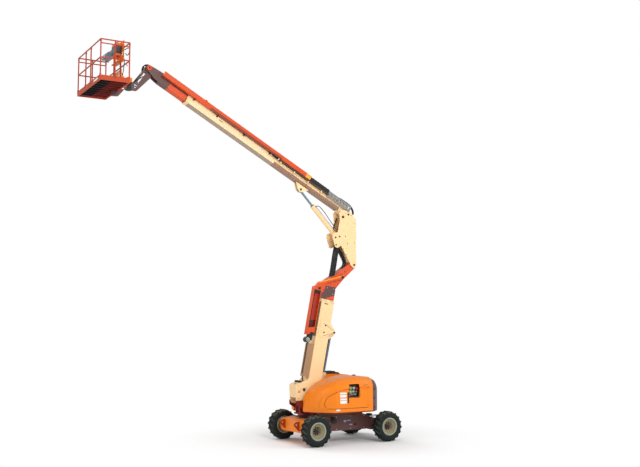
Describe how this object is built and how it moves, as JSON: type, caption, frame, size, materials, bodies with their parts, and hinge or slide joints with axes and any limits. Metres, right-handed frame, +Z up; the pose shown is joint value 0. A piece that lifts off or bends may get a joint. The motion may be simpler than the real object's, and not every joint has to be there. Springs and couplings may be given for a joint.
{
  "type": "articulating boom lift",
  "caption": "Self-propelled work platform lift: a telescoping tower, an upright and a telescoping main boom carry a railed basket above a wheeled chassis.",
  "frame": {"origin": "on the floor, under the middle of the whole machine as it stands", "axes": "+Z up, +X from the chassis towards the platform, +Y to the machine's left"},
  "size_m": [9.7198, 2.49, 11.5289],
  "materials": {
    "orange": "gloss paint",
    "cream": "gloss paint",
    "brown": "satin paint",
    "red": "satin paint",
    "black": "matt paint",
    "plastic": "moulded plastic",
    "rubber": "matt rubber",
    "rim": "satin paint",
    "steel": "ground and chromed",
    "iron": "painted casting",
    "panel": "satin paint"
  },
  "bodies": {
    "chassis": {"chassis_frame": "brown", "swing_bearing": "steel", "tie_down_left": "red", "tie_down_right": "red"},
    "knuckle_left": {"knuckle_left": "iron"},
    "knuckle_right": {"knuckle_right": "iron"},
    "wheel_front_left": {"tyre_front_left": "rubber", "rim_front_left": "rim"},
    "wheel_front_right": {"tyre_front_right": "rubber", "rim_front_right": "rim"},
    "wheel_rear_left": {"tyre_rear_left": "rubber", "rim_rear_left": "rim"},
    "wheel_rear_right": {"tyre_rear_right": "rubber", "rim_rear_right": "rim"},
    "turntable": {"turntable_frame": "red", "counterweight": "brown", "hood_left": "orange", "hood_right": "orange", "engine_block": "iron", "fuel_tank": "plastic", "ground_control_box": "plastic", "top_cover": "plastic"},
    "hood_door_left": {"hood_door_left": "orange"},
    "hood_door_right": {"hood_door_right": "orange"},
    "tower": {"tower_base": "cream", "tower_tray": "cream"},
    "tower_fly": {"tower_fly": "orange", "tower_channel": "orange", "tower_chain": "black"},
    "tower_cyl_barrel": {"tower_cyl_barrel": "cream"},
    "tower_cyl_rod": {"tower_cyl_rod": "steel"},
    "upright": {"upright": "cream"},
    "main_boom": {"main_base": "cream", "main_tray": "cream", "hose_guard": "panel"},
    "main_fly": {"main_fly": "brown", "main_push_tube": "orange", "main_chain": "black"},
    "main_cyl_barrel": {"main_cyl_barrel": "cream"},
    "main_cyl_rod": {"main_cyl_rod": "steel"},
    "support_arm": {"support_arm": "brown"},
    "platform": {"rotator": "orange", "platform_floor": "orange", "platform_rails": "orange", "console": "black", "console_panel": "panel", "console_plate": "orange", "guard_hoop": "red"},
    "entry_bar": {"entry_bar": "orange"}
  },
  "joints": [
    {"name": "swing", "type": "hinge", "parent": "chassis", "child": "turntable", "pos_m": [-3.13, 0, 0.86], "axis": [0, 0, 1], "range_deg": [-180, 180]},
    {"name": "steer_left", "type": "hinge", "parent": "chassis", "child": "knuckle_left", "pos_m": [-4.4, 0.79, 0.46], "axis": [0, 0, 1], "range_deg": [-35, 35]},
    {"name": "steer_right", "type": "hinge", "parent": "chassis", "child": "knuckle_right", "pos_m": [-4.4, -0.79, 0.46], "axis": [0, 0, 1], "range_deg": [-35, 35]},
    {"name": "roll_front_left", "type": "hinge", "parent": "chassis", "child": "wheel_front_left", "pos_m": [-1.86, 1.065, 0.46], "axis": [0, 1, 0], "continuous": true},
    {"name": "roll_front_right", "type": "hinge", "parent": "chassis", "child": "wheel_front_right", "pos_m": [-1.86, -1.065, 0.46], "axis": [0, 1, 0], "continuous": true},
    {"name": "roll_rear_left", "type": "hinge", "parent": "knuckle_left", "child": "wheel_rear_left", "pos_m": [-4.4, 1.065, 0.46], "axis": [0, 1, 0], "continuous": true},
    {"name": "roll_rear_right", "type": "hinge", "parent": "knuckle_right", "child": "wheel_rear_right", "pos_m": [-4.4, -1.065, 0.46], "axis": [0, 1, 0], "continuous": true},
    {"name": "door_left", "type": "hinge", "parent": "turntable", "child": "hood_door_left", "pos_m": [-3.13, 1.1923, 1.7], "axis": [1, 0, 0], "range_deg": [0, 95]},
    {"name": "door_right", "type": "hinge", "parent": "turntable", "child": "hood_door_right", "pos_m": [-3.13, -1.1923, 1.7], "axis": [-1, 0, 0], "range_deg": [0, 95]},
    {"name": "tower_lift", "type": "hinge", "parent": "turntable", "child": "tower", "pos_m": [-1.92198, 0, 1.61596], "axis": [0, 1, 0], "range_deg": [-74, 0]},
    {"name": "tower_extend", "type": "slide", "parent": "tower", "child": "tower_fly", "axis": [-0.1908, 0, 0.9816], "range_m": [0, 1.1]},
    {"name": "upright_level", "type": "hinge", "parent": "tower_fly", "child": "upright", "pos_m": [-3.75, 0, 5.48], "axis": [0, 1, 0], "range_deg": [0, 74]},
    {"name": "tower_cyl_foot", "type": "hinge", "parent": "turntable", "child": "tower_cyl_barrel", "pos_m": [-2.51, 0, 1], "axis": [0, 1, 0], "range_deg": [-76, 0]},
    {"name": "tower_cyl_slide", "type": "slide", "parent": "tower_cyl_barrel", "child": "tower_cyl_rod", "axis": [-0.2045, 0, 0.9789], "range_m": [-1.03, 0]},
    {"name": "main_lift", "type": "hinge", "parent": "upright", "child": "main_boom", "pos_m": [-3.54, 0, 7.09], "axis": [0, -1, 0], "range_deg": [-31, 41]},
    {"name": "main_extend", "type": "slide", "parent": "main_boom", "child": "main_fly", "axis": [0.8746, 0, 0.4848], "range_m": [0, 3.7]},
    {"name": "main_cyl_foot", "type": "hinge", "parent": "upright", "child": "main_cyl_barrel", "pos_m": [-3.21, 0, 6.37], "axis": [0, -1, 0], "range_deg": [-26, 34]},
    {"name": "main_cyl_slide", "type": "slide", "parent": "main_cyl_barrel", "child": "main_cyl_rod", "axis": [0.6837, 0, 0.7298], "range_m": [-0.42, 0.55]},
    {"name": "platform_level", "type": "hinge", "parent": "main_fly", "child": "support_arm", "pos_m": [3.13954, 0, 10.96975], "axis": [0, -1, 0], "range_deg": [-41, 31]},
    {"name": "platform_rotate", "type": "hinge", "parent": "support_arm", "child": "platform", "pos_m": [3.7, 0, 10.48], "axis": [0, 0, 1], "range_deg": [-90, 90]},
    {"name": "entry_bar_lift", "type": "slide", "parent": "platform", "child": "entry_bar", "axis": [0, 0, 1], "range_m": [0, 0.4]}
  ],
  "couplings": [
    {"joint": "steer_right", "follows": "steer_left", "ratio": 1},
    {"joint": "upright_level", "follows": "tower_lift", "ratio": -1},
    {"joint": "tower_cyl_foot", "follows": "tower_lift", "ratio": 1.0251},
    {"joint": "tower_cyl_slide", "follows": "tower_lift", "m_per_rad": 0.7923},
    {"joint": "main_cyl_foot", "follows": "main_lift", "ratio": 0.82},
    {"joint": "main_cyl_slide", "follows": "main_lift", "m_per_rad": 0.756},
    {"joint": "platform_level", "follows": "main_lift", "ratio": -1}
  ]
}
